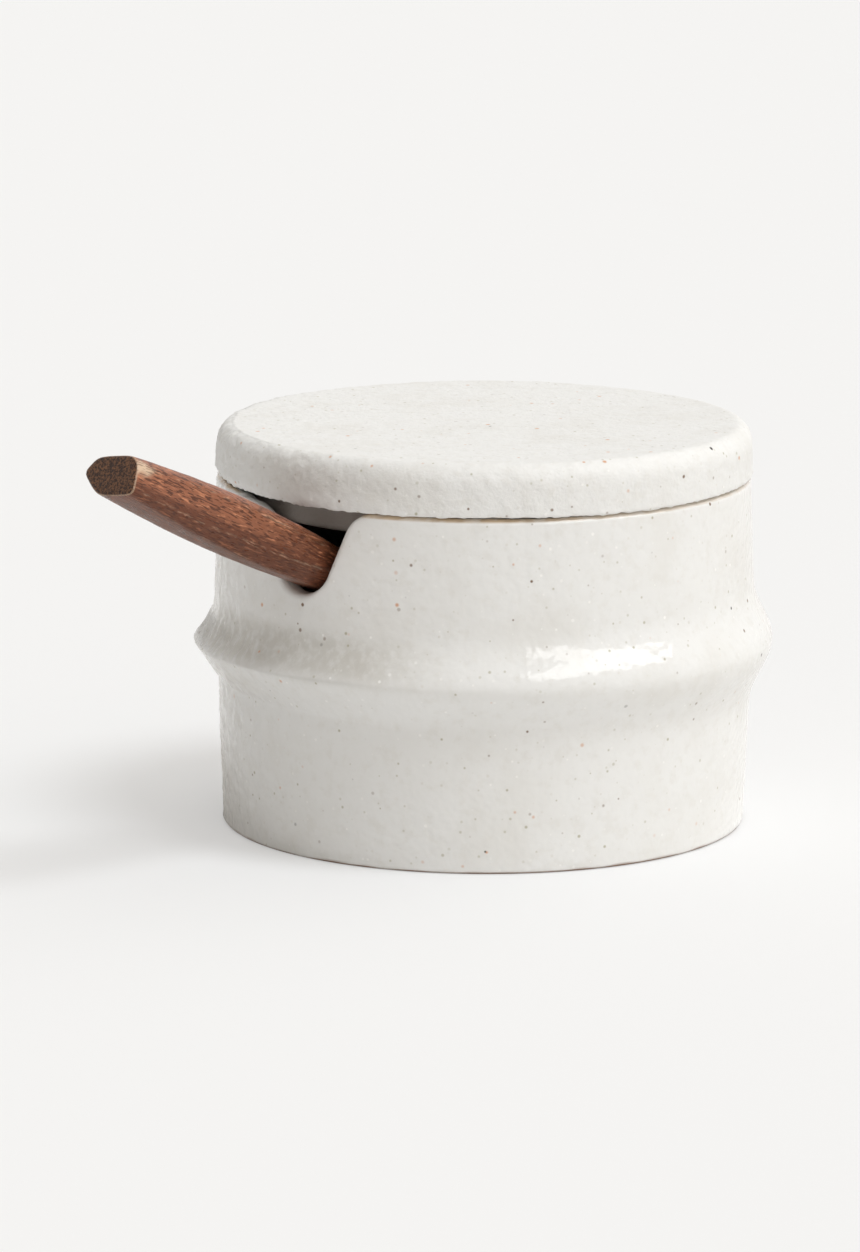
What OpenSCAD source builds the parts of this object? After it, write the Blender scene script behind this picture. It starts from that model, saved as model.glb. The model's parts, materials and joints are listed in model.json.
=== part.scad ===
// A lidded stoneware salt pig with a wooden spoon that leans in a notch in its rim.
// The jar stands on z = 0 with its axis on Z, and its front faces -Y.
// The notch and the spoon are built facing -Y, then turned to their place.

/* [Jar] */
// Height of the jar from the table to its rim
jar_h = 65.4; // [60:0.2:76]
// Outside diameter of the jar at its rim
rim_d = 99.6; // [90:0.2:112]
// How much narrower the jar is at its foot than at its rim
foot_less = 1.7; // [0:0.1:6]
// How much wider than the rim the lower wall would be at the ring's crest
waist_more = 1.4; // [0:0.1:4]
// How much wider than the rim the upper wall would be at the ring's crest
neck_more = 2.2; // [0:0.1:4]
// How much wider than the rim the raised ring is at its crest
ring_more = 9; // [6:0.2:14]
// Height of the ring's crest above the table
ring_z = 34.9; // [28:0.1:38]
// How far the ring's slope reaches below its crest
ring_below = 11; // [8:0.5:16]
// How far the ring's slope reaches above its crest
ring_above = 9; // [6:0.5:12]
// Thickness of the wall at the rim
wall_t = 5.2; // [5:0.1:6]
// Thickness of the floor
floor_t = 6.2; // [5:0.1:8]
// Radius where the wall meets the floor inside
corner_r = 9; // [5:0.5:12]
// Rounding of the outer edge of the rim and the notch
rim_round = 1.2; // [0.6:0.1:1.5]
// Rounding of the inner edge of the rim and the notch
rim_in_round = 3.6; // [2.4:0.1:3.9]

/* [Foot] */
// Width of the foot ring that the jar stands on
foot_w = 7; // [4:0.5:12]
// Depth of the hollow under the foot
foot_hollow = 2; // [1:0.1:3]
// Rounding of the foot ring's edges
foot_round = 0.8; // [0.3:0.1:1]

/* [Notch] */
// Angle from the jar's front round to the notch, towards -X
notch_angle = 42; // [0:0.5:90]
// Depth of the notch from the rim to its sill
notch_depth = 16; // [13:0.1:18]
// Radius of the notch's bottom
notch_r = 6.5; // [6:0.1:8]
// Lean of the notch's sides from the vertical, in degrees
notch_lean = 24; // [10:1:28]
// Radius of the corners where the notch meets the rim
notch_corner_r = 6.2; // [5.6:0.1:8]

/* [Lid] */
// How much wider the lid is than the jar's rim
lid_more = 0.4; // [0:0.1:4]
// Thickness of the lid from the rim to its top face
lid_t = 9.8; // [7:0.1:12]
// Rounding of the lid's top edge
lid_top_round = 3.2; // [1:0.1:4]
// Rounding of the lid's lower edge
lid_low_round = 0.5; // [0.3:0.1:1.2]
// Depth of the flange below the lid
flange_h = 4.9; // [3:0.1:5.4]
// Thickness of the flange
flange_w = 4.6; // [3:0.1:7]
// Gap all round between the flange and the jar
lid_play = 0.8; // [0.4:0.1:1.5]
// Depth of the hollow inside the flange, above the rim
lid_hollow = 1.8; // [0.5:0.1:3]
// Rounding of the flange's lower edges
flange_round = 1; // [0.4:0.1:1.4]

/* [Spoon] */
// Length of the spoon outside, from the sill's pivot to the handle's end
spoon_out = 60; // [40:0.5:70]
// Rise of the handle above the horizontal, in degrees
handle_rise = 24.4; // [23.5:0.1:25.5]
// Angle, in degrees, by which the spoon tilts until its tip is near the wall
tilt_angle = 15; // [10:1:18]
// How far short of the wall the tilted spoon would end if it ran through its pivot
tip_gap = 1.6; // [1:0.1:4]
// Width of the handle at the sill
handle_w = 10.8; // [8:0.1:11.4]
// Thickness of the handle at the sill
handle_t = 8; // [7:0.1:9]
// Thickness of the handle halfway along its outside, where it is fullest
mid_t = 9.5; // [7.6:0.1:10]
// Width of the handle at its outer end
end_w = 12.2; // [8:0.1:13]
// Thickness of the handle at its outer end
end_t = 7.2; // [6.6:0.1:9]
// Width of the neck where the bowl begins
neck_w = 8.6; // [7:0.1:10]
// Thickness of the neck where the bowl begins
neck_t = 7; // [6:0.1:8]
// Chamfer along the handle's two upper edges
top_chamfer = 1.4; // [0.8:0.1:2.4]
// Chamfer along the handle's two lower edges
low_chamfer = 2.8; // [1.6:0.1:3.2]
// Rounding of the handle's outer end
end_round = 0.5; // [0.5:0.1:2]
// Length of the bowl
bowl_l = 36; // [30:0.5:40]
// Width of the bowl
bowl_w = 25; // [18:0.5:28]
// Height of the bowl from its rim to its underside
bowl_h = 9; // [7:0.1:10]
// Thickness of the bowl's wall and rim
bowl_wall = 2; // [1.6:0.1:2.6]
// Gap between the spoon and what it rests on
spoon_play = 0.3; // [0.1:0.05:0.5]

/* [Hidden] */

$fn = 96;
glaze = [0.88, 0.87, 0.85];
walnut = [0.42, 0.24, 0.16];

rim_r = rim_d / 2;
bore_r = rim_r - wall_t;
foot_r = (rim_d - foot_less) / 2;
waist_r = (rim_d + waist_more) / 2;
neck_r = (rim_d + neck_more) / 2;
ring_r = (rim_d + ring_more) / 2;
lid_r = (rim_d + lid_more) / 2;
floor_z = foot_hollow + floor_t;
foot_inner_r = foot_r - foot_w;
sill_z = jar_h - notch_depth;

// How far the notch's cutter runs out past the clay
overrun = rim_round;

// The spoon turns about the centre of the sill's inner rounding
pivot_r = bore_r + rim_in_round;
pivot_z = sill_z - rim_in_round;
spoon_in = (pivot_r + bore_r - tip_gap) / cos(handle_rise - tilt_angle);

// Steps in which curves are drawn
ring_steps = 14;
arc_steps = 6;
fillet_steps = 4;
rounding_steps = 3;

// Powers that give the ring's two slopes their roundness
below_power = 1.2;
above_power = 1.6;

// Angles, in degrees, at which roundings end, so that no surface only grazes another
graze_angle = 25;
corner_graze_angle = 30;
foot_graze_angle = 35;

function between(a, b, share) = a + (b - a) * share;
function limit(x, low, high) = max(low, min(high, x));
function ease(share) = share * share * (3 - 2 * share);
function arc(centre, r, from, to, steps) =
    [for (i = [0 : steps]) let (a = between(from, to, i / steps)) centre + r * [cos(a), sin(a)]];

// Outside radius of the jar's wall at a height
function slope_share(distance, reach, power) =
    pow((1 + cos(180 * min(1, distance / reach))) / 2, power);
function lower_wall_r(z) = between(foot_r, waist_r, z / ring_z);
function upper_wall_r(z) = between(neck_r, rim_r, min(1, (z - ring_z) / (jar_h - rim_round - ring_z)));
function wall_r(z) = z < ring_z
    ? lower_wall_r(z) + (ring_r - waist_r) * slope_share(ring_z - z, ring_below, below_power)
    : upper_wall_r(z) + (ring_r - neck_r) * slope_share(z - ring_z, ring_above, above_power);

// Heights at which the outer wall has a point: more of them over the ring
wall_heights = concat(
    [for (i = [0 : ring_steps]) ring_z - ring_below * (1 - i / ring_steps)],
    [for (i = [1 : ring_steps]) ring_z + ring_above * i / ring_steps]
);

// The jar's section, as [radius, height], from the hollow under the foot round to the floor inside
jar_section = concat(
    [[0, foot_hollow]],
    [[foot_inner_r - foot_hollow, foot_hollow]],
    arc([foot_inner_r + foot_round, foot_round], foot_round, 180 + foot_graze_angle, 270, fillet_steps),
    arc([foot_r - foot_round, foot_round], foot_round, 270, 360, fillet_steps),
    [for (z = wall_heights) [wall_r(z), z]],
    arc([rim_r - rim_round, jar_h - rim_round], rim_round, 0, 90, fillet_steps),
    arc([bore_r + rim_in_round, jar_h - rim_in_round], rim_in_round, 90, 180, arc_steps),
    arc([bore_r - corner_r, floor_z + corner_r], corner_r, 0, -90, arc_steps + 2),
    [[0, floor_z]]
);

// The notch seen square on, as [distance along the wall, height], grown all round by an offset
notch_bottom = [0, sill_z + notch_r];
corner_z = jar_h - notch_corner_r;
corner_s = (notch_r + notch_corner_r + (corner_z - notch_bottom[1]) * sin(notch_lean)) / cos(notch_lean);
function notch_half(grow) = let (
        bottom = arc(notch_bottom, notch_r + grow, -90, -notch_lean, arc_steps),
        corner = arc([corner_s, corner_z], notch_corner_r - grow, 180 - notch_lean, 90 + corner_graze_angle, arc_steps),
        top = corner[arc_steps],
        climb = jar_h + overrun - top[1]
    ) concat(bottom, corner, [top + climb * [1 / tan(corner_graze_angle), 1]]);
function mirrored(points) = [for (i = [len(points) - 1 : -1 : 1]) [-points[i][0], points[i][1]]];
function notch_outline(grow) = let (half = notch_half(grow)) concat(mirrored(half), half);

// Layers of the notch's cutter in from one face of the wall: [side, distance from the face, grow].
// Side 1 is the outer face, and side 0 is the bore.
function edge_layers(side, r) = let (
        steps = [for (i = [0 : rounding_steps]) let (a = between(graze_angle, 90, i / rounding_steps))
            [side, r * (1 - cos(a)), r * (1 - sin(a))]]
    ) concat([steps[0] + overrun * [0, -1, 1 / tan(graze_angle)]], steps);
function reversed(list) = [for (i = [len(list) - 1 : -1 : 0]) list[i]];
notch_layers = concat(edge_layers(1, rim_round), reversed(edge_layers(0, rim_in_round)));
function notch_point(layer, point) = let (
        r = layer[0] == 1 ? wall_r(min(point[1], jar_h)) - layer[1] : bore_r + layer[1],
        a = point[0] / rim_r * 180 / PI
    ) [r * sin(a), -r * cos(a), point[1]];

// A closed skin over rings of points that all have the same count, each end closed round its own centre
module skin(rings, centres) {
    count = len(rings[0]);
    last = (len(rings) - 1) * count;
    middle = len(rings) * count;
    sides = [for (k = [0 : len(rings) - 2]) for (i = [0 : count - 1]) let (
            a = k * count + i,
            b = k * count + (i + 1) % count
        ) each [[a, b, b + count], [a, b + count, a + count]]];
    caps = [for (i = [0 : count - 1]) let (j = (i + 1) % count)
        each [[j, i, middle], [last + i, last + j, middle + 1]]];
    polyhedron(concat([for (ring = rings) each ring], centres), concat(sides, caps));
}

module to_notch() {
    rotate([0, 0, -notch_angle]) children();
}

module notch_cutter() {
    centre = [0, jar_h + overrun / 2];
    skin(
        [for (layer = notch_layers) [for (point = notch_outline(layer[2])) notch_point(layer, point)]],
        [for (layer = [notch_layers[0], notch_layers[len(notch_layers) - 1]]) notch_point(layer, centre)]
    );
}

module jar() {
    color(glaze)
    difference() {
        rotate_extrude() polygon(jar_section);
        to_notch() notch_cutter();
    }
}

// The lid's section, as [radius, height], from the hollow's centre out round the flange to the top
flange_r = bore_r - lid_play;
flange_z = jar_h - flange_h;
flange_inner_r = flange_r - flange_w;
lid_top_z = jar_h + lid_t;
lid_section = concat(
    [[0, jar_h + lid_hollow]],
    [[flange_inner_r - flange_round, jar_h + lid_hollow]],
    [[flange_inner_r, jar_h + lid_hollow - flange_round]],
    arc([flange_inner_r + flange_round, flange_z + flange_round], flange_round, 180, 270, fillet_steps),
    arc([flange_r - flange_round, flange_z + flange_round], flange_round, 270, 360, fillet_steps),
    [[flange_r, jar_h]],
    arc([lid_r - lid_low_round, jar_h + lid_low_round], lid_low_round, 270, 360, fillet_steps),
    arc([lid_r - lid_top_round, lid_top_z - lid_top_round], lid_top_round, 0, 90, arc_steps),
    [[0, lid_top_z]]
);

module lid() {
    color(glaze) rotate_extrude() polygon(lid_section);
}

// The spoon's own frame: x runs out along the handle from the pivot, y across, z up from the handle's underside.
// Its parts blend from a handle with eight flats to a bowl with a hollow.
bowl_x = bowl_l / 2 - spoon_in;
neck_x = bowl_l + neck_w - spoon_in;
bowl_steps = 14;
neck_steps = 6;
handle_steps = 6;
section_points = 24;
points_per_flat = section_points / 8;

// Shares that shape the bowl: its depth left at its ends, the roundness of its belly, and where its rings end
tip_share = 0.16;
bowl_power = 0.6;
ring_share = 0.999;

function handle_share(x) = x > 0 ? 0 : limit(x / neck_x, 0, 1);
function half_width(x) = (x > 0 ? between(handle_w, end_w, x / spoon_out)
    : between(handle_w, neck_w, handle_share(x))) / 2;
function swelling(u) = (1 - u) * (1 - 2 * u) * handle_t + 4 * u * (1 - u) * mid_t + u * (2 * u - 1) * end_t;
function half_depth(x) = (x > 0 ? swelling(x / spoon_out) : between(handle_t, neck_t, handle_share(x))) / 2;

// How far along the bowl a station lies, from -1 at the neck to 1 at the tip
function bowl_share(x) = limit((bowl_x - x) / (bowl_l / 2), -1, 1);
function bowl_half(x) = let (round_share = sqrt(1 - pow(bowl_share(x), 2)))
    pow(pow(bowl_w / 2 * round_share, 4) + (x > bowl_x ? pow(half_width(x), 4) : 0), 0.25);
function bowl_depth(x) = bowl_h * (tip_share + (1 - tip_share) * pow(1 - pow(bowl_share(x), 2), bowl_power));
function bowl_blend(x) = ease(limit((neck_x - x) / (neck_x - bowl_x), 0, 1));

// A point of the eight-sided handle section, and the matching point of the bowl section
function flat_corner(k, w, h, top, low) = [
    [w, low - h], [w, h - top], [w - top, h], [top - w, h],
    [-w, h - top], [-w, low - h], [low - w, -h], [w - low, -h]
][k % 8];
function flat_point(i, w, h) = let (k = floor(i / points_per_flat)) between(
    flat_corner(k, w, h, top_chamfer, low_chamfer),
    flat_corner(k + 1, w, h, top_chamfer, low_chamfer),
    (i % points_per_flat) / points_per_flat
);
function bowl_point(i, x) = let (
        a = 360 * (i - points_per_flat / 2) / section_points,
        w = bowl_half(x),
        y = w * cos(a),
        inner = max(w - bowl_wall, bowl_wall / 10),
        hollow = max(bowl_depth(x) - bowl_wall, 0) * max(0, 1 - pow(y / inner, 2))
    ) [y, sin(a) > 0 ? -hollow : bowl_depth(x) * sin(a)];
function spoon_point(i, x, drop) = let (
        b = bowl_blend(x),
        flat = flat_point(i, half_width(x), half_depth(x)) + [0, handle_t / 2],
        p = between(flat, bowl_point(i, x) + [0, handle_t / 2 - drop], b)
    ) [x, -p[0], p[1]];

// How far over its pivot the handle lies, so that its flats clear the notch's round bottom
touch_r = rim_in_round + spoon_play;
touch_path_r = notch_r + rim_in_round;
touch_angles = [-60 : 5 : 60];
seat_lift = max([for (i = [0 : section_points - 1]) for (a = touch_angles) let (
        p = flat_point(i, handle_w / 2, handle_t / 2) + [0, handle_t / 2],
        aside = touch_path_r * sin(a) - p[0]
    ) if (abs(aside) < touch_r)
        touch_path_r * (1 - cos(a)) - p[1] + sqrt(pow(touch_r, 2) - pow(aside, 2))]);

// Where a point of the spoon stands in the jar: [distance from the axis, height]
function in_jar(p) = let (z = p[2] + seat_lift)
    [norm([p[1], -pivot_r - p[0] * cos(handle_rise) + z * sin(handle_rise)]),
     pivot_z + p[0] * sin(handle_rise) + z * cos(handle_rise)];
function floor_height(r) = let (past = limit(r - bore_r + corner_r, 0, corner_r))
    floor_z + corner_r - sqrt(pow(corner_r, 2) - pow(past, 2));

// The bowl hangs below the handle's centre line by just what brings its belly to the floor
bowl_stations = [for (i = [0 : bowl_steps]) bowl_x - bowl_l / 2 * ring_share * cos(180 * i / bowl_steps)];
bowl_rest = [for (x = bowl_stations) for (i = [0 : section_points - 1]) let (
        p = in_jar(spoon_point(i, x, 0))
    ) (p[1] - floor_height(p[0]) - spoon_play) / cos(handle_rise)];
bowl_drop = min(bowl_rest);

neck_stations = [for (i = [1 : neck_steps - 1]) between(bowl_x + bowl_l / 2, neck_x, i / neck_steps)];
handle_stations = [for (i = [0 : handle_steps]) between(neck_x, spoon_out - end_round, i / handle_steps)];
end_rounding = [for (i = [1 : 3]) end_round * [sin(30 * i), 1 - cos(30 * i)]];

module spoon_body() {
    body = [for (x = concat(bowl_stations, neck_stations, handle_stations))
        [for (i = [0 : section_points - 1]) spoon_point(i, x, bowl_drop)]];
    end = [for (step = end_rounding) let (x = spoon_out - end_round + step[0])
        [for (i = [0 : section_points - 1]) let (
            p = flat_point(i, half_width(x) - step[1], half_depth(x) - step[1])
        ) [x, -p[0], p[1] + handle_t / 2]]];
    skin(concat(body, end), [[body[0][0][0], 0, body[0][0][2]], [spoon_out, 0, handle_t / 2]]);
}

module spoon() {
    color(walnut)
    to_notch()
    translate([0, -pivot_r, pivot_z])
    rotate([0, -handle_rise, -90])
    translate([0, 0, seat_lift])
    spoon_body();
}

jar();
lid();
spoon();
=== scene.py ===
import json
import math
import bpy
import numpy as np
from mathutils import Matrix, Vector, noise


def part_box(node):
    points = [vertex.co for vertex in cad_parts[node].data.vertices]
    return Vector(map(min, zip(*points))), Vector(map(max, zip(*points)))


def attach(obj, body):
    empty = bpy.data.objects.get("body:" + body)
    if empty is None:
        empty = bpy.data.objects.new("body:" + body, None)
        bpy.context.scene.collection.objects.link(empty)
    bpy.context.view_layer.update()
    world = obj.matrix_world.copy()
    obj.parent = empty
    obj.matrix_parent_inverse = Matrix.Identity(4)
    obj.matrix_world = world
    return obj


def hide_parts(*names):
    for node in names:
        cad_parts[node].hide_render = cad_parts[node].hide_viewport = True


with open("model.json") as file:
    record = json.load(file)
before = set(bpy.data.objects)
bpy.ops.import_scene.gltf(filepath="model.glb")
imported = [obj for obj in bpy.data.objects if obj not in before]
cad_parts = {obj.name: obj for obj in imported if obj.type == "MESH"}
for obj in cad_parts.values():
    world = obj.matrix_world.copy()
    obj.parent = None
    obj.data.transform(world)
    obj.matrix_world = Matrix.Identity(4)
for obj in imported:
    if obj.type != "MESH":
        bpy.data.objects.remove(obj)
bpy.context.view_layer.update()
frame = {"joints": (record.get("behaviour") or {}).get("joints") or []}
mm = 0.001

# Places that the pieces share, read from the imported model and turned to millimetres
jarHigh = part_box("jar")[1] / mm
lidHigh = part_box("lid")[1] / mm
tilt = next(j for j in frame["joints"] if j["name"] == "spoon_tilt")
pivot = Vector(tilt["pos_m"]) / mm
pivotRadius = math.hypot(pivot.x, pivot.y)
notchTurn = math.atan2(pivot.x, -pivot.y)      # from the front round to the notch, in radians


def smooth(t):
    t = np.clip(t, 0, 1)
    return t * t * (3 - 2 * t)


def mix(a, b, t):
    return a + (b - a) * t


def around(radius, angle, height):
    # points at an angle round the jar's axis, counted from the notch
    a = angle + notchTurn
    return np.stack(np.broadcast_arrays(radius * np.sin(a), -radius * np.cos(a), height), -1)


# Camera, at the photograph's angle and framing

camera = {
    "aim": (-9.98, 0, 36.16),    # mm, the point at the centre of the picture
    "distance": 1200,            # mm
    "down": 11.24,               # degrees below the horizontal
    "roll": 0.16,                # degrees
    "lens": 184.1,               # mm, on a 36 mm sensor
}


def makeCamera(c):
    down = math.radians(c["down"])
    data = bpy.data.cameras.new("camera")
    data.lens = c["lens"]
    data.sensor_width = 36
    data.clip_end = 30
    obj = bpy.data.objects.new("camera", data)
    bpy.context.scene.collection.objects.link(obj)
    place = (Vector(c["aim"]) + Vector((0, -math.cos(down), math.sin(down))) * c["distance"]) * mm
    turn = Matrix.Rotation(math.pi / 2 - down, 4, "X") @ Matrix.Rotation(math.radians(c["roll"]), 4, "Z")
    obj.matrix_world = Matrix.Translation(place) @ turn
    bpy.context.scene.camera = obj


makeCamera(camera)
print("camera placed")


# Meshes are built as rings of points, joined row by row

def ringMesh(name, rings, firstPole, lastPole):
    count = len(rings[0])
    here = np.arange(count)
    ahead = np.roll(here, -1)
    points = np.concatenate([np.concatenate(rings), [firstPole, lastPole]]) * mm
    quad = np.stack([here, ahead, ahead + count, here + count], 1)
    last = (len(rings) - 1) * count
    pole = len(rings) * count
    faces = np.concatenate([quad + start for start in range(0, last, count)]).tolist()
    faces += [(int(b), int(a), pole) for a, b in zip(here, ahead)]
    faces += [(last + int(a), last + int(b), pole + 1) for a, b in zip(here, ahead)]
    mesh = bpy.data.meshes.new(name)
    mesh.from_pydata(points.tolist(), [], faces)
    mesh.polygons.foreach_set("use_smooth", np.ones(len(faces), bool))
    mesh.update()
    obj = bpy.data.objects.new(name, mesh)
    bpy.context.scene.collection.objects.link(obj)
    return obj


def vertexData(mesh, what):
    values = np.empty(len(mesh.vertices) * 3)
    mesh.vertices.foreach_get(what, values)
    return values.reshape(-1, 3)


def degreesRound(points):
    # from the front round to the left
    return np.degrees(np.arctan2(-points[:, 0], -points[:, 1]))


def noiseAt(points, size, shift=0.0):
    # smooth noise from -1 to 1, for points in mm
    return np.array([noise.noise((x + shift, y - shift, z + 2 * shift)) for x, y, z in points / size])


def roughen(obj, layers):
    # pushes the surface in and out by noise: each layer is (size in mm, height in mm, where)
    mesh = obj.data
    points = vertexData(mesh, "co") / mm
    push = np.zeros(len(points))
    for k, (size, height, where) in enumerate(layers):
        push += height * where * noiseAt(points, size, 7.3 * (k + 1))
    points += vertexData(mesh, "normal") * push[:, None]
    mesh.vertices.foreach_set("co", (points * mm).ravel())
    mesh.update()


def paint(obj, name, values):
    # a share per point, which the material reads by name
    layer = obj.data.attributes.new(name, "FLOAT", "POINT")
    layer.data.foreach_set("value", np.asarray(values, np.float32))


def addPiece(obj, body, node, material):
    obj.data.materials.append(material)
    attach(obj, body)
    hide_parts(node)


# Materials are node trees, made with one short helper

class Shader:
    def __init__(self, name, along=None):
        self.material = bpy.data.materials.new(name)
        self.material.use_nodes = True
        self.tree = self.material.node_tree
        self.skin = next(n for n in self.tree.nodes if n.type == "BSDF_PRINCIPLED")
        if along:
            self.place = self.add("ShaderNodeAttribute", attribute_name=along).outputs["Vector"]
        else:
            self.place = self.add("ShaderNodeTexCoord").outputs["Object"]

    def add(self, kind, inputs=None, **settings):
        node = self.tree.nodes.new(kind)
        for key, value in settings.items():
            setattr(node, key, value)
        for key, value in (inputs or {}).items():
            if isinstance(value, bpy.types.NodeSocket):
                self.tree.links.new(value, node.inputs[key])
            else:
                node.inputs[key].default_value = value
        return node

    def math(self, operation, a, b=0.0):
        return self.add("ShaderNodeMath", {0: a, 1: b}, operation=operation).outputs[0]

    def times(self, a, b):
        return self.math("MULTIPLY", a, b)

    def scaled(self, scale):
        return self.add("ShaderNodeMapping", {"Vector": self.place, "Scale": scale}).outputs[0]

    def noise(self, size, detail=2.0, roughness=0.5, vector=None):
        # size is in mm
        node = self.add("ShaderNodeTexNoise", {
            "Vector": vector or self.place, "Scale": 1 / (size * mm) if vector is None else 1.0,
            "Detail": detail, "Roughness": roughness})
        return node.outputs["Fac"]

    def span(self, value, low, high, to=(0.0, 1.0)):
        node = self.add("ShaderNodeMapRange", {
            "Value": value, "From Min": low, "From Max": high, "To Min": to[0], "To Max": to[1]},
            interpolation_type="SMOOTHSTEP")
        return node.outputs["Result"]

    def blend(self, share, a, b):
        node = self.add("ShaderNodeMix", data_type="RGBA")
        for socket, value in zip((node.inputs[0], node.inputs[6], node.inputs[7]), (share, a, b)):
            if isinstance(value, bpy.types.NodeSocket):
                self.tree.links.new(value, socket)
            elif isinstance(value, tuple):
                socket.default_value = (*value, 1)
            else:
                socket.default_value = value
        return node.outputs[2]

    def specks(self, cell, radius, share, soft=0.35):
        # scattered round specks: cell and radius in mm, share of the cells that hold one
        node = self.add("ShaderNodeTexVoronoi", {"Vector": self.place, "Scale": 1 / (cell * mm)})
        picks = self.add("ShaderNodeSeparateColor", {"Color": node.outputs["Color"]}).outputs
        edge = self.span(picks["Green"], 0.0, 1.0, (0.6 * radius / cell, radius / cell))
        near = self.math("SUBTRACT", edge, node.outputs["Distance"])
        spot = self.span(near, 0.0, soft * radius / cell)
        chosen = self.math("LESS_THAN", picks["Red"], share)
        strength = self.span(picks["Blue"], 0.0, 1.0, (0.3, 1.0))
        return self.times(self.times(spot, chosen), strength)

    def painted(self, name):
        return self.add("ShaderNodeAttribute", attribute_name=name).outputs["Fac"]

    def bump(self, height, depth, under=None):
        # depth in mm is how far a height of 1 stands out
        inputs = {"Height": height, "Distance": depth * mm, "Strength": 1.0}
        if under is not None:
            inputs["Normal"] = under
        return self.add("ShaderNodeBump", inputs).outputs["Normal"]

    def finish(self, colour, roughness, normal, **constants):
        self.tree.links.new(colour, self.skin.inputs["Base Color"])
        self.tree.links.new(roughness, self.skin.inputs["Roughness"])
        self.tree.links.new(normal, self.skin.inputs["Normal"])
        for key, value in constants.items():
            self.skin.inputs[key.replace("_", " ")].default_value = value
        return self.material


glaze = {
    "pale": (0.80, 0.797, 0.783),
    "warm": (0.73, 0.715, 0.68),      # in clouds and mottling over the pale
    "clouds": (14, 0.5),              # size in mm, share
    "mottling": (2.6, 0.45),
    "white": (0.90, 0.89, 0.87),
    "tan": (0.56, 0.41, 0.26),        # where the glaze breaks thin over an edge
    "clay": (0.25, 0.14, 0.08),       # the bare foot
    "flangeShade": (0.37, 0.34, 0.315),      # the thinly washed flange
    # painted shade on the lid's flange, given as a thin wash
    "bareRoughness": 0.85,
    "shadeTone": (0.50, 0.475, 0.42),      # painted shade, given as thick darker glaze, above the ring and on the lid's side at the left
    "black": (0.03, 0.022, 0.018),
    "brown": (0.17, 0.09, 0.045),
    "orange": (0.62, 0.27, 0.10),
    "olive": (0.40, 0.37, 0.25),
    "specks": [                       # colour, cell, radius (mm), share of cells, strength, softness
        ("white", 2.4, 0.42, 0.85, 1.0, 0.6),
        ("warm", 1.7, 0.45, 0.45, 0.9, 0.8),
        ("olive", 2.3, 0.42, 0.80, 0.8, 0.7),
        ("orange", 4.2, 0.60, 0.36, 0.85, 0.7),
        ("brown", 3.4, 0.48, 0.46, 0.95, 0.55),
        ("black", 5.0, 0.52, 0.26, 1.0, 0.45),
    ],
}


def glazeMaterial(name, g, gloss):
    s = Shader(name)
    size, share = g["clouds"]
    cloud = s.span(s.noise(size, 3.0, 0.5), 0.45, 0.75)
    colour = s.blend(s.times(cloud, share), g["pale"], g["warm"])
    size, share = g["mottling"]
    mottle = s.span(s.noise(size, 3.0, 0.6), 0.48, 0.72)
    colour = s.blend(s.times(mottle, share), colour, g["warm"])
    # painted shade, given as a darker glaze
    paintedShade = s.times(s.painted("paintedShade"), s.span(s.noise(1.8, 3.0, 0.6), 0.3, 0.6, (0.55, 1.0)))
    colour = s.blend(paintedShade, colour, g["shadeTone"])

    for kind, cell, radius, share, strength, soft in g["specks"]:
        spots = s.specks(cell, radius, min(1, share * gloss["many"]), soft)
        colour = s.blend(s.times(spots, strength), colour, g[kind])

    thin = s.times(s.painted("thin"), s.span(s.noise(3, 2.0), 0.3, 0.55, (0.55, 1.0)))
    colour = s.blend(thin, colour, g["tan"])
    # the bare foot of the jar, and painted shade on the lid's flange
    bareAndShaded = s.painted("bareAndShaded")
    colour = s.blend(bareAndShaded, colour, g[gloss["bareAndShadeTone"]])

    skin = s.span(s.noise(3.5, 2.0), 0.3, 0.7, (gloss["roughness"], gloss["dull"]))
    rough = s.math("MAXIMUM", skin, s.times(bareAndShaded, g["bareRoughness"]))
    peel = s.bump(s.noise(gloss["peelSize"], 1.0), gloss["peel"])
    sand = s.bump(s.noise(0.5, 2.0, 0.6), gloss["sand"], peel)
    return s.finish(colour, rough, sand, IOR=1.5, Specular_IOR_Level=gloss["shine"])


print("materials ready")

# The jar: a thrown wall with a raised ring, and a rim that dips into a round-edged notch

jar = {
    "footRadius": 48.95,     # mm, as are all the lengths here
    "waistRadius": 50.6,     # the lower wall carried up to the ring
    "neckRadius": 50.9,      # the upper wall carried down to the ring
    "ringRadius": 54.12,
    "ringHeight": 34.9,
    "ringBelow": (6.6, 12.0),    # reach of the ring's lower slope, to the left and to the right
    "ringAbove": (8.5, 13.0),    # reach of its upper slope
    "crisp": (1.0, 0.0),     # how sharp the ring's crest is, to the left and to the right
    "softCurve": (1.2, 1.6),     # powers of the lower and the upper slope where the crest is soft
    "crispCurve": (0.92, 2.1),   # and where it is sharp
    "crestWave": 0.25,       # how far the crest rises and falls round the jar
    "crestDrop": 0.4,        # and how far it drops at the left
    "leftFoot": -0.2,        # how much further out each of these lies at the left
    "leftWaist": -0.8,
    "leftNeck": -0.3,
    "leftRing": 0.15,
    "rimRadius": 49.8,
    "wall": 5.2,
    "floorHeight": 8.2,
    "cornerRadius": 9.0,     # between the wall and the floor inside
    "rimRound": 1.2,         # of the rim's and the notch's outer edge
    "rimInRound": 3.6,       # and of their inner edge
    "footInner": 41.95,
    "footHollow": 2.0,
    "footRound": 0.8,
    "uneven": [(24, 0.24), (9, 0.07)],       # size and height of the wall's unevenness
    "leftGrain": [(2.4, 0.14), (1.2, 0.12)], # and of the grain at the left
    "ripple": (2.1, 0.28),   # of the ripples over the ring at the left
    "columns": 640,
    "wallRows": 120,
}
notch = {
    "depth": 16.0,           # mm, from the rim to the sill
    "radius": 6.5,           # of the bottom
    "lean": 24,              # degrees, of the sides from the vertical
    "cornerRadius": 6.2,     # where the notch meets the rim
    "shoulder": 1.7,         # how far the rim sinks towards the notch on its left
    "shoulderSpan": (30, 8), # from and to these distances from the notch's middle
}


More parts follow.
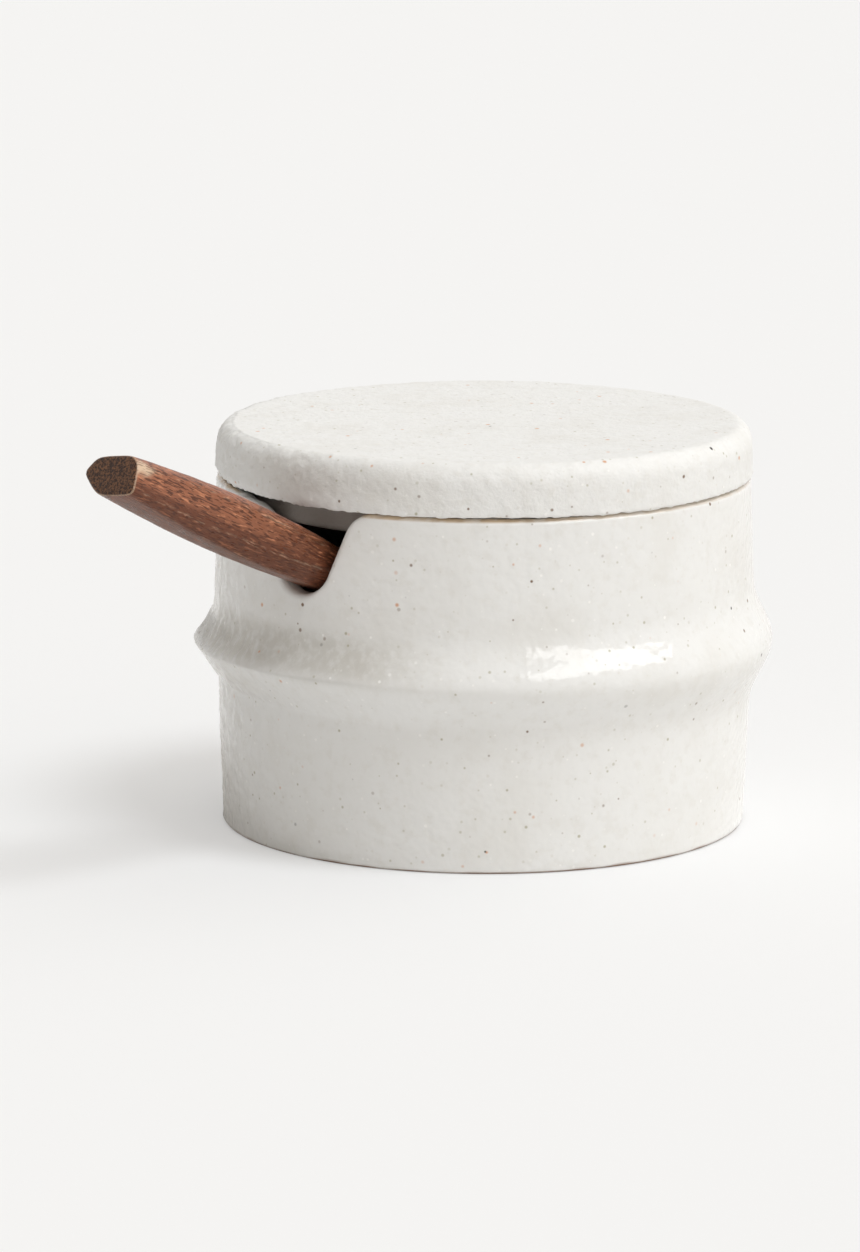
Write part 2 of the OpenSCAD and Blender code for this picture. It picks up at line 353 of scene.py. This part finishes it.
def wallRadius(z, angle, j):
    # outer radius of the wall at a height, with the ring sharper to the left than to the right
    right = (1 + np.sin(angle + notchTurn)) / 2
    left = 1 - right
    crest = j["ringHeight"] + j["crestWave"] * np.sin(2 * angle + 0.6) - j["crestDrop"] * left ** 4
    foot = j["footRadius"] + j["leftFoot"] * left
    waist = j["waistRadius"] + j["leftWaist"] * left
    neck = j["neckRadius"] + j["leftNeck"] * left
    ring = j["ringRadius"] + j["leftRing"] * left

    def lowerWall(height):
        return mix(foot, waist, np.clip(height / j["ringHeight"], 0, 1))

    rimEdge = jarHigh.z - j["rimRound"]
    upper = mix(neck, j["rimRadius"], np.clip((z - j["ringHeight"]) / (rimEdge - j["ringHeight"]), 0, 1))
    u = np.clip((crest - z) / mix(*j["ringBelow"], right), 0, 1)
    v = np.clip((z - crest) / mix(*j["ringAbove"], right), 0, 1)
    crisp = mix(*j["crisp"], smooth(right * 1.6))
    slopes = [mix(((1 + np.cos(np.pi * t)) / 2) ** soft, (1 - t) ** hard, crisp)
              for t, soft, hard in zip((u, v), j["softCurve"], j["crispCurve"])]
    under = lowerWall(z) + (ring - lowerWall(crest)) * slopes[0]
    over = upper + (ring - neck) * slopes[1]
    return np.where(z < crest, under, over)


def notchLine(n):
    # half of the notch's outline: the lean and the ends of its straight side, the heights of the
    # centres of its two arcs, and how far it reaches along the rim
    lean = math.radians(n["lean"])
    low = jarHigh.z - n["depth"] + n["radius"]
    high = jarHigh.z - n["cornerRadius"]
    across = (n["radius"] + n["cornerRadius"] + (high - low) * math.sin(lean)) / math.cos(lean)
    start = (n["radius"] * math.cos(lean), low - n["radius"] * math.sin(lean))
    end = (across - n["cornerRadius"] * math.cos(lean), high + n["cornerRadius"] * math.sin(lean))
    return lean, low, high, across, start, end


def notchOutline(distance, n, j):
    # where a distance along the rim line lies: along the wall, height, and the way into the clay
    lean, low, high, across, start, end = notchLine(n)
    sill = low - n["radius"]
    bottomArc = n["radius"] * (math.pi / 2 - lean)
    cornerArc = n["cornerRadius"] * (math.pi / 2 - lean)
    side = math.dist(start, end)
    d = np.abs(distance)
    a = -math.pi / 2 + d / n["radius"]
    b = math.pi - lean - (d - bottomArc - side) / n["cornerRadius"]
    t = (d - bottomArc) / side
    beyond = d - bottomArc - side - cornerArc
    cases = [d < bottomArc, d < bottomArc + side, beyond < 0]
    s = np.select(cases, [n["radius"] * np.cos(a), mix(start[0], end[0], t),
                          across + n["cornerRadius"] * np.cos(b)], across + beyond)
    z = np.select(cases, [low + n["radius"] * np.sin(a), mix(start[1], end[1], t),
                          high + n["cornerRadius"] * np.sin(b)], jarHigh.z)
    inS = np.select(cases, [np.cos(a), math.cos(lean), -np.cos(b)], 0.0)
    inZ = np.select(cases, [np.sin(a), -math.sin(lean), -np.sin(b)], -1.0)
    sign = np.sign(distance)
    far, near = n["shoulderSpan"]
    sunk = smooth((far - s) / (far - near)) * (z - sill) / n["depth"] * (distance < 0)
    return s * sign, z - n["shoulder"] * sunk, inS * sign, inZ


def rimLength(n, j):
    # half the length of the rim line, all the way round and down through the notch
    lean, *_, across, start, end = notchLine(n)
    arcs = (n["radius"] + n["cornerRadius"]) * (math.pi / 2 - lean)
    return arcs + math.dist(start, end) + math.pi * j["rimRadius"] - across


def makeJar(j, n):
    count = j["columns"]
    u = (np.arange(count) + 0.5) / count * 2 - 1
    s, z, inS, inZ = notchOutline(u * rimLength(n, j), n, j)
    base = u * math.pi
    bore = j["rimRadius"] - j["wall"]
    rings = []
    flat = np.ones(count)

    def turned(radius, height):
        rings.append(around(radius * flat, base, height * flat))

    # under the foot, from the middle out
    for r in (12, 24, 32, 38):
        turned(r, j["footHollow"])
    for t in np.linspace(0, 1, 4):
        turned(j["footInner"] - j["footHollow"] * (1 - t), j["footHollow"] * (1 - smooth(t)))
    for r in np.linspace(j["footInner"] + 1, j["footRadius"] - j["footRound"], 6):
        turned(r, 0)
    for a in np.linspace(math.pi / 8, 3 * math.pi / 8, 3):
        turned(j["footRadius"] - j["footRound"] * (1 - math.sin(a)), j["footRound"] * (1 - math.cos(a)))

    # up the outer wall, to where the edge's rounding begins
    edge = j["rimRound"]
    topS, topZ = s + inS * edge, z + inZ * edge
    for t in np.linspace(0, 1, j["wallRows"]):
        height = mix(j["footRound"], topZ, t)
        angle = mix(base, topS / j["rimRadius"], smooth(t))
        rings.append(around(wallRadius(height, angle, j), angle, height))

    # over the edge: its outer rounding, the top, and its inner rounding
    for a in np.linspace(0, math.pi / 2, 9)[1:]:
        grow, depth = edge * (1 - math.sin(a)), edge * (1 - math.cos(a))
        angle, height = (s + inS * grow) / j["rimRadius"], z + inZ * grow
        rings.append(around(wallRadius(height, angle, j) - depth, angle, height))
    angle = s / j["rimRadius"]
    outer = wallRadius(z, angle, j) - edge
    edge = j["rimInRound"]
    rings.append(around(mix(outer, bore + edge, 0.5), angle, z))
    for a in np.linspace(math.pi / 2, 0, 14):
        grow, depth = edge * (1 - math.sin(a)), edge * (1 - math.cos(a))
        rings.append(around(bore + depth, (s + inS * grow) / j["rimRadius"], z + inZ * grow))
    topS, topZ = s + inS * edge, z + inZ * edge

    # down the bore, round the corner and over the floor
    corner = j["floorHeight"] + j["cornerRadius"]
    for t in np.linspace(0, 1, 46)[1:]:
        angle = mix(topS / j["rimRadius"], base, smooth(t))
        rings.append(around(bore * flat, angle, mix(topZ, corner, t)))
    for a in np.linspace(0, math.pi / 2, 12)[1:]:
        turned(bore - j["cornerRadius"] * (1 - math.cos(a)), corner - j["cornerRadius"] * math.sin(a))
    for r in (31, 26, 20, 13, 6):
        turned(r, j["floorHeight"])
    obj = ringMesh("jar_glazed", rings, (0, 0, j["footHollow"]), (0, 0, j["floorHeight"]))

    # uneven all over, with grain and ripples at the left
    points = vertexData(obj.data, "co") / mm
    radius = np.hypot(points[:, 0], points[:, 1])
    inside = (radius < bore + 0.5) & (points[:, 2] > j["footHollow"] + 1)
    shown = np.where(inside, 0.4, 1.0) * smooth(points[:, 2] / 2.5)
    left = smooth((-points[:, 0] / j["rimRadius"] - 0.68) / 0.26) * shown
    aboveRing = points[:, 2] - j["ringHeight"]
    onRing = smooth(1.3 - np.abs(aboveRing - 2.4) / 2.6) * smooth(1.6 - np.abs(degreesRound(points) - 74) / 20)
    length, height = j["ripple"]
    wave = points[:, 1] * 0.9 - points[:, 2] * 0.5 + 1.6 * noiseAt(points, 6, 11.0)
    ripple = height * np.sin(wave * 2 * math.pi / length) * onRing * left
    roughen(obj, [(*layer, shown) for layer in j["uneven"]] + [(*layer, left) for layer in j["leftGrain"]])
    points = vertexData(obj.data, "co") / mm
    points += vertexData(obj.data, "normal") * ripple[:, None]
    obj.data.vertices.foreach_set("co", (points * mm).ravel())

    # bare under the foot, thin over the rim, and painted shade above the ring at the left, given as darker
    # glaze
    ragged = noiseAt(points, 5, 3.1)
    paint(obj, "bareAndShaded", smooth((0.5 + 0.3 * ragged - points[:, 2]) / 0.35) * ~inside)
    right = smooth(points[:, 0] / j["rimRadius"] * 1.3)
    onRim = smooth((points[:, 2] - jarHigh.z + 0.75) / 0.35) * (radius > j["rimRadius"] - 1.5)
    paint(obj, "thin", onRim * mix(0.9, 0.45, right))
    aboveRing = points[:, 2] - j["ringHeight"]
    # painted shade on the ring's upper slope at the left
    hollow = smooth(1.4 - np.abs(aboveRing - 4.2) / 4) * smooth(1.5 - np.abs(degreesRound(points) - 48) / 32)
    paint(obj, "paintedShade", 0.62 * hollow)
    return obj


jarGloss = {
    "roughness": 0.07, "dull": 0.12,     # where the glaze is glossiest and where it is dullest
    "peel": 0.16, "peelSize": 2.2,       # mm, of the skin's dimples
    "sand": 0.014,                       # mm, of its finest grain
    "many": 1.0,                         # how many of the specks there are
    "shine": 0.5,
    "bareAndShadeTone": "clay",
}
addPiece(makeJar(jar, notch), "jar", "jar", glazeMaterial("jar glaze", glaze, jarGloss))
print("jar built")

# The lid: a thick disc with soft edges and a flange that drops into the jar

lid = {
    "radius": 50.0,          # mm
    "topRound": (3.2, 4.0),      # of the upper edge, across and down
    "lowRound": 0.4,
    "gap": 0.18,             # under the outer edge, past the ring that the lid rests on
    "flangeRadius": 43.8,
    "flangeWidth": 4.6,
    "flangeDepth": 4.9,
    "flangeRound": 1.0,
    "hollow": 1.8,           # above the rim, inside the flange
    "seatLift": 0.05,        # above the rim, of the ring that rests on it
    "leanIn": (0.8, 0.35),   # to the left, of the lower edge and of the side's top
    "uneven": [(30, 0.20), (7, 0.07), (2.4, 0.11)],      # size and height of the unevenness
    "beads": (1.1, 0.15),    # strongest to the left and along the lower edge
    "fineBeads": (0.7, 0.10),
    "columns": 640,
}


def makeLid(l):
    base = np.linspace(-math.pi, math.pi, l["columns"], endpoint=False)
    flat = np.ones(l["columns"])
    rings = []

    def turned(radius, height):
        rings.append(around(radius * flat, base, height * flat))

    def arc(radius, height, r, start, end, steps, tall=None):
        for a in np.radians(np.linspace(start, end, steps)):
            turned(radius + r * math.cos(a), height + (tall or r) * math.sin(a))

    inner = l["flangeRadius"] - l["flangeWidth"]
    ceiling = jarHigh.z + l["hollow"]
    bottom = jarHigh.z - l["flangeDepth"]
    for r in (8, 16, 24, 31, 35, 37):
        turned(r, ceiling)
    arc(inner - 1, ceiling - 1, 1, 90, 0, 4)
    for z in np.linspace(ceiling - 1.6, bottom + 1.6, 8):
        turned(inner, z)
    arc(inner + l["flangeRound"], bottom + l["flangeRound"], l["flangeRound"], 180, 270, 5)
    arc(l["flangeRadius"] - l["flangeRound"], bottom + l["flangeRound"], l["flangeRound"], 270, 360, 5)
    for z in np.linspace(bottom + 1.4, jarHigh.z - 0.2, 8):
        turned(l["flangeRadius"], z)
    seat = jarHigh.z + l["seatLift"]
    for r in np.linspace(l["flangeRadius"] + 0.2, l["radius"] - l["lowRound"] - 0.2, 12):
        turned(r, seat + l["gap"] * smooth((r - l["radius"] + 1.5) / 0.6))
    seat += l["gap"]
    arc(l["radius"] - l["lowRound"], seat + l["lowRound"], l["lowRound"], 270, 360, 5)
    across, down = l["topRound"]
    for z in np.linspace(seat + l["lowRound"] + 0.4, lidHigh.z - down - 0.4, 10):
        turned(l["radius"], z)
    arc(l["radius"] - across, lidHigh.z - down, across, 0, 90, 14, down)
    for r in np.linspace(l["radius"] - across - 0.5, 6, 60):
        turned(r, lidHigh.z)
    obj = ringMesh("lid_glazed", rings, (0, 0, ceiling), (0, 0, lidHigh.z))

    points = vertexData(obj.data, "co") / mm
    radius = np.hypot(points[:, 0], points[:, 1])
    outer = smooth((radius - 45) / 4)
    onSeat = (points[:, 2] < seat + 0.02) & (radius < l["radius"] - 1.1)
    shown = np.where(onSeat, 0.0, mix(0.5, 1.0, outer))
    left = smooth((-points[:, 0] / l["radius"] - 0.3) / 0.5)
    # to the left the lower edge is rounder and the side leans in
    over = points[:, 2] - seat
    edgeIn, sideIn = l["leanIn"]
    pull = left * (radius > 47) * (edgeIn * smooth((1.8 - over) / 1.8) ** 2 + sideIn * smooth((over - 2) / 6))
    points[:, :2] *= (1 - pull / np.maximum(radius, 1))[:, None]
    obj.data.vertices.foreach_set("co", (points * mm).ravel())
    low = smooth((1.4 - over) / 1.0) * (radius > 48)
    roughen(obj, [(*layer, shown) for layer in l["uneven"]] + [
        (*l["beads"], shown * (0.4 + left + low)), (*l["fineBeads"], shown * (left + low))])
    # painted shade on the flange under the lid, given as a thin wash
    paint(obj, "bareAndShaded", smooth((l["flangeRadius"] + 1 - radius) / 0.6) * (points[:, 2] < ceiling - 0.5))
    paint(obj, "thin", np.zeros(len(points)))
    # painted shade on the lid's side at the upper left, given as darker glaze
    onSide = (radius > 47) * smooth((over - 1.5) / 3) * smooth((9.2 - over) / 2)
    paint(obj, "paintedShade", 0.2 * onSide * smooth(1.5 - np.abs(degreesRound(points) - 38) / 18))
    return obj


lidGloss = {
    "roughness": 0.46, "dull": 0.62, "peel": 0.13, "peelSize": 1.3, "sand": 0.08, "many": 1.2, "shine": 0.25,
    # the flange's tone is painted shade
    "bareAndShadeTone": "flangeShade",
}
addPiece(makeLid(lid), "lid", "lid", glazeMaterial("lid glaze", glaze, lidGloss))
print("lid built")

# The spoon: one carved stick, from an eight-sided handle to a hollowed bowl

spoon = {
    "inLength": 92.44,       # mm, from the pivot to the bowl's tip
    "outLength": 59.0,       # from the pivot to the handle's end
    "rise": 24.4,            # degrees
    "lift": 4.47,            # from the pivot to the handle's underside
    "width": 10.8,
    "depth": 8.0,
    "midDepth": 10.0,        # halfway along the outside, where the handle is fullest
    "endWidth": 12.1,
    "endDepth": 7.3,
    "twist": 8.5,            # degrees, at the outer end
    "sag": 0.50,             # how far the outer end bows down
    "neckWidth": 8.6,
    "neckDepth": 7.0,
    # how far each corner is cut away, at the sill and at the end, from the lower left round
    "chamfers": [(2.8, 3.7), (1.4, 2.3), (1.4, 1.7), (3.3, 0.8)],
    "endRound": 0.5,
    "bowlLength": 36.0,
    "bowlWidth": 25.0,
    "bowlDepth": 9.0,
    "bowlWall": 2.0,
    "bowlDrop": 3.57,        # of the bowl's rim below the handle's centre line
    "uneven": [(14, 0.08), (3.5, 0.05), (1.4, 0.03)],    # size and height of the carving's unevenness
    "points": 64,
}
walnut = {
    "mid": (0.27, 0.10, 0.05),
    "light": (0.55, 0.225, 0.115),
    "dark": (0.075, 0.025, 0.013),
    "red": (0.40, 0.145, 0.075),
    # painted shade, by the notch and on the lower flats
    "woodShade": (0.13, 0.042, 0.02),
    "end": (0.15, 0.07, 0.034),
    "endDark": (0.03, 0.012, 0.006),
    # paler wood, partly wear and partly a painted highlight, at the end and along the corners
    "wearAndGlint": (0.72, 0.55, 0.39),
    "topSheen": (0.47, 0.46, 0.50),       # the painted sheen along the top, standing in for a reflection of the bright backdrop
    "relief": 0.10,                  # mm, of the fibres
}


def handleSection(x, p, inset=0.0):
    # the eight flats, their corners eased; the outside is carved a little askew
    u = max(0, x / p["outLength"])
    if x > 0:
        w = mix(p["width"], p["endWidth"], u)
        h = ((1 - u) * (1 - 2 * u) * p["depth"] + 4 * u * (1 - u) * p["midDepth"]
             + u * (2 * u - 1) * p["endDepth"])
    else:
        t = min(1, x / (p["bowlLength"] + p["neckWidth"] - p["inLength"]))
        w, h = mix(p["width"], p["neckWidth"], t), mix(p["depth"], p["neckDepth"], t)
    w, h = w / 2 - inset, h / 2 - inset
    a, b, c, d = (mix(*chamfer, u) for chamfer in p["chamfers"])
    corners = np.array([(w, a - h), (w, h - b), (w - b, h), (c - w, h),
                        (-w, h - c), (-w, d - h), (d - w, -h), (w - a, -h)])
    t = np.linspace(0, 8, p["points"], endpoint=False)
    k = t.astype(int)
    line = mix(corners[k], corners[(k + 1) % 8], (t - k)[:, None])
    for step in range(6):
        eased = (np.roll(line, 1, 0) + 2 * line + np.roll(line, -1, 0)) / 4
        line = mix(line, eased, 1 if step == 0 else u ** 3)
    turn = -math.radians(p["twist"]) * u
    askew = np.array([[math.cos(turn), math.sin(turn)], [-math.sin(turn), math.cos(turn)]])
    return line @ askew - (0, p["sag"] * u ** 2)


def bowlSection(x, p):
    centre = p["bowlLength"] / 2 - p["inLength"]
    share = np.clip((centre - x) / (p["bowlLength"] / 2), -1, 1)
    round_ = math.sqrt(max(0, 1 - share ** 2))
    neck = p["neckWidth"] / 2 if x > centre else 0
    w = ((p["bowlWidth"] / 2 * round_) ** 4 + neck ** 4) ** 0.25
    depth = p["bowlDepth"] * (0.16 + 0.84 * (1 - share ** 2) ** 0.6)
    a = np.radians(-22.5 + 360 * np.arange(p["points"]) / p["points"])
    y = w * np.cos(a)
    inner = max(w - p["bowlWall"], 0.2)
    hollow = max(depth - p["bowlWall"], 0) * np.clip(1 - (y / inner) ** 2, 0, 1)
    return np.stack([y, np.where(np.sin(a) > 0, -hollow, depth * np.sin(a))], 1)


def makeSpoon(p):
    centre = p["bowlLength"] / 2 - p["inLength"]
    neck = p["bowlLength"] + p["neckWidth"] - p["inLength"]
    tail = p["outLength"] - p["endRound"]
    stations = np.concatenate([
        centre - p["bowlLength"] / 2 * np.cos(np.linspace(0.02, math.pi, 50)),
        np.linspace(centre + p["bowlLength"] / 2, neck, 12)[1:],
        np.linspace(neck, tail, 130)[1:]])
    rings = []

    def cut(x, section):
        rings.append(np.stack([np.full(len(section), x), -section[:, 0], section[:, 1] + p["depth"] / 2], 1))

    for x in stations:
        b = smooth((neck - x) / (neck - centre))
        cut(x, mix(handleSection(x, p), bowlSection(x, p) - (0, p["bowlDrop"]), b))
    for a in np.radians([18, 36, 54, 72, 90]):
        cut(tail + p["endRound"] * math.sin(a), handleSection(tail, p, p["endRound"] * (1 - math.cos(a))))
    middle = np.array([p["outLength"], 0, p["depth"] / 2 - p["sag"]])
    rings += [mix(middle, rings[-1], t) for t in (0.8, 0.48, 0.32, 0.16)]
    obj = ringMesh("spoon_walnut", rings, np.mean(rings[0], 0), middle)

    # what the material reads: the end's edge, pale partly from wear and partly as a painted highlight, a
    # painted highlight patch at its corner, and the eight flats, with painted shade on the lower ones and a
    # painted sheen on the top ones
    points = vertexData(obj.data, "co") / mm
    edge = smooth((points[:, 0] - tail - 0.08) / 0.12)
    corner = np.array([p["outLength"] - 1.6, p["endWidth"] / 2, p["depth"] / 2 + 2.2])
    patch = np.linalg.norm((points - corner) / (2.4, 1.5, 1.3), axis=1) + 0.45 * noiseAt(points, 1.0, 5.0)
    # the end's edge is partly wear and partly a painted highlight; the patch at its corner is a painted
    # highlight
    paint(obj, "wearAndGlint", np.maximum(0.5 * edge, 0.85 * smooth(1.5 - patch)))
    paint(obj, "outer", smooth(points[:, 0] / p["outLength"]))
    flat = np.arange(len(points)) % p["points"] / (p["points"] / 8)
    # the corners of the flats: partly wear, partly a painted highlight
    paint(obj, "ridgeWearAndGlint", (flat % 1 == 0) * smooth(points[:, 0] / 6))
    # the top flats: a painted sheen, standing in for a reflection
    paint(obj, "top", (flat > 1.75) * (flat < 3.25) * smooth((points[:, 0] + 5) / 45))
    # the lower flats: painted shade
    paint(obj, "under", (flat > 4.625) * smooth((points[:, 0] + 20) / 10))
    paint(obj, "endGrain", smooth((points[:, 0] - p["outLength"] + 0.24) / 0.1))
    roughen(obj, [(*layer, 1.0) for layer in p["uneven"]])

    # the wood's own coordinates, then to its place in the jar
    along = obj.data.attributes.new("along", "FLOAT_VECTOR", "POINT")
    along.data.foreach_set("vector", (points * mm).ravel())
    turn = Matrix.Rotation(notchTurn - math.pi / 2, 4, "Z") @ Matrix.Rotation(-math.radians(p["rise"]), 4, "Y")
    obj.data.transform(Matrix.Translation(pivot * mm) @ turn @ Matrix.Translation((0, 0, p["lift"] * mm)))
    obj.data.update()
    return obj


def walnutMaterial(w):
    s = Shader("walnut", "along")
    bands = s.noise(1, 3.0, 0.6, s.scaled((16, 280, 280)))
    fibre = s.noise(1, 3.0, 0.65, s.scaled((330, 1900, 1900)))
    pores = s.noise(1, 1.0, 0.5, s.scaled((520, 3600, 3600)))
    outer, under = s.painted("outer"), s.painted("under")
    colour = s.blend(s.times(s.span(bands, 0.40, 0.70), 0.65), w["mid"], w["dark"])

    # redder outwards; painted shade by the notch, where the lid shades the handle, and on the lower flats
    colour = s.blend(s.times(outer, 0.4), colour, w["red"])
    colour = s.blend(s.span(outer, 0.0, 0.4, (0.65, 0.0)), colour, w["woodShade"])
    colour = s.blend(s.times(under, 0.95), colour, w["woodShade"])

    # light fibres, fewer on the flats with painted shade, and dark pores
    light = s.times(s.span(fibre, 0.52, 0.68), s.span(under, 0.0, 1.0, (0.8, 0.35)))
    colour = s.blend(light, colour, w["light"])
    colour = s.blend(s.times(s.span(pores, 0.52, 0.60), 0.85), colour, w["dark"])

    # paler along the corners and the end, partly wear and partly painted highlight; a painted sheen on top,
    # standing in for a reflection
    ridgeWearAndGlint = s.times(s.painted("ridgeWearAndGlint"), s.span(fibre, 0.46, 0.64, (0.0, 0.2)))
    colour = s.blend(ridgeWearAndGlint, colour, w["wearAndGlint"])
    top = s.times(s.painted("top"), s.span(fibre, 0.4, 0.6, (0.15, 0.5)))
    colour = s.blend(top, colour, w["topSheen"])
    wearAndGlint = s.times(s.painted("wearAndGlint"), s.span(pores, 0.5, 0.62, (1.0, 0.5)))
    colour = s.blend(wearAndGlint, colour, w["wearAndGlint"])
    grain = s.blend(s.span(s.noise(0.34, 3.0), 0.42, 0.6), w["endDark"], w["end"])
    colour = s.blend(s.painted("endGrain"), colour, grain)

    rough = s.span(fibre, 0.3, 0.7, (0.26, 0.42))
    relief = s.bump(s.math("SUBTRACT", fibre, s.times(pores, 0.5)), w["relief"])
    return s.finish(colour, rough, relief, IOR=1.45, Specular_IOR_Level=0.3)


addPiece(makeSpoon(spoon), "spoon", "spoon", walnutMaterial(walnut))
print("spoon built")

# Floor, world and lamps

studio = {
    "white": 0.888,          # the plain background, as light seen by the camera
    "level": 0.425,          # plain light from all round
    "right": 0.475,          # how much more of it comes from the right
    "back": -0.08,           # and from behind
    "above": 0.43,           # and from above
    "least": 0.02,
    "tint": (1.0, 0.95, 0.88),
    "sunTint": (0.91, 0.955, 1.0),
    "suns": [                # energy, from (degrees round to the right, and up), spread
        (1.35, (57, 62), 22),
        (0.14, (135, 42), 36),
    ],
    "box": 1.25,             # watts, seen only as a highlight on the glaze
    "boxFrom": (52, 40),
    "boxSize": (0.62, 0.17), # m
    "boxAway": 0.6,          # m
    "floor": 0.86,
    "floorGlow": 0.42,       # share of the floor's tone that no shadow takes away
    "floorSize": 12,         # m
    "floorDrop": 0.02,       # mm, below the foot
}


def towards(turn, up):
    turn, up = math.radians(turn), math.radians(up)
    return Vector((math.sin(turn) * math.cos(up), -math.cos(turn) * math.cos(up), math.sin(up)))


def addLamp(name, kind, energy, direction, place=(0, 0, 0)):
    lamp = bpy.data.lights.new(name, kind)
    lamp.energy = energy
    obj = bpy.data.objects.new(name, lamp)
    obj.matrix_world = Matrix.Translation(place) @ direction.to_track_quat("Z", "Y").to_matrix().to_4x4()
    bpy.context.scene.collection.objects.link(obj)
    return obj


def makeWorld(w):
    world = bpy.data.worlds.new("studio")
    bpy.context.scene.world = world
    world.use_nodes = True
    tree = world.node_tree
    tree.nodes.clear()

    def add(kind, *inputs, **settings):
        node = tree.nodes.new(kind)
        for key, value in settings.items():
            setattr(node, key, value)
        for socket, value in zip(node.inputs, inputs):
            if isinstance(value, bpy.types.NodeSocket):
                tree.links.new(value, socket)
            elif value is not None:
                socket.default_value = value
        return node

    # plain light that is brighter to the right, in front and above
    way = add("ShaderNodeTexCoord").outputs["Generated"]
    lean = add("ShaderNodeVectorMath", way, (w["right"], w["back"], w["above"]), operation="DOT_PRODUCT")
    level = add("ShaderNodeMath", lean.outputs["Value"], w["level"], operation="ADD").outputs[0]
    level = add("ShaderNodeMath", level, w["least"], operation="MAXIMUM").outputs[0]
    light = add("ShaderNodeBackground", (*w["tint"], 1), level).outputs[0]
    shown = add("ShaderNodeBackground", (*[w["white"]] * 3, 1), 1.0).outputs[0]
    path = add("ShaderNodeLightPath").outputs
    seen = add("ShaderNodeMath", path["Is Camera Ray"], path["Is Glossy Ray"], operation="MAXIMUM").outputs[0]
    seen = add("ShaderNodeMath", seen, path["Is Transmission Ray"], operation="MAXIMUM").outputs[0]
    both = add("ShaderNodeMixShader", seen, light, shown).outputs[0]
    add("ShaderNodeOutputWorld", both)


def makeStudio(w):
    makeWorld(w)
    for energy, source, spread in w["suns"]:
        sun = addLamp("sun", "SUN", energy, towards(*source))
        sun.data.angle = math.radians(spread)
        sun.data.color = w["sunTint"]
    box = addLamp("softbox", "AREA", w["box"], towards(*w["boxFrom"]), towards(*w["boxFrom"]) * w["boxAway"])
    box.data.shape = "RECTANGLE"
    box.data.size, box.data.size_y = w["boxSize"]
    box.visible_diffuse = False

    bpy.ops.mesh.primitive_grid_add(x_subdivisions=8, y_subdivisions=8, size=w["floorSize"])
    floor = bpy.context.object
    floor.name = "floor"
    floor.location.z = -w["floorDrop"] * mm
    s = Shader("floor")
    s.skin.inputs["Base Color"].default_value = (*[w["floor"]] * 3, 1)
    s.skin.inputs["Roughness"].default_value = 0.9
    s.skin.inputs["Specular IOR Level"].default_value = 0.0
    out = next(n for n in s.tree.nodes if n.type == "OUTPUT_MATERIAL")
    seen = s.times(s.add("ShaderNodeLightPath").outputs["Is Camera Ray"], w["floorGlow"])
    glow = s.add("ShaderNodeEmission", {"Color": (*[w["white"]] * 3, 1), "Strength": 1.0})
    both = s.add("ShaderNodeMixShader", {0: seen, 1: s.skin.outputs["BSDF"], 2: glow.outputs[0]})
    s.tree.links.new(both.outputs[0], out.inputs["Surface"])
    floor.data.materials.append(s.material)


makeStudio(studio)
bpy.context.scene.view_settings.view_transform = "Standard"
print("studio ready")
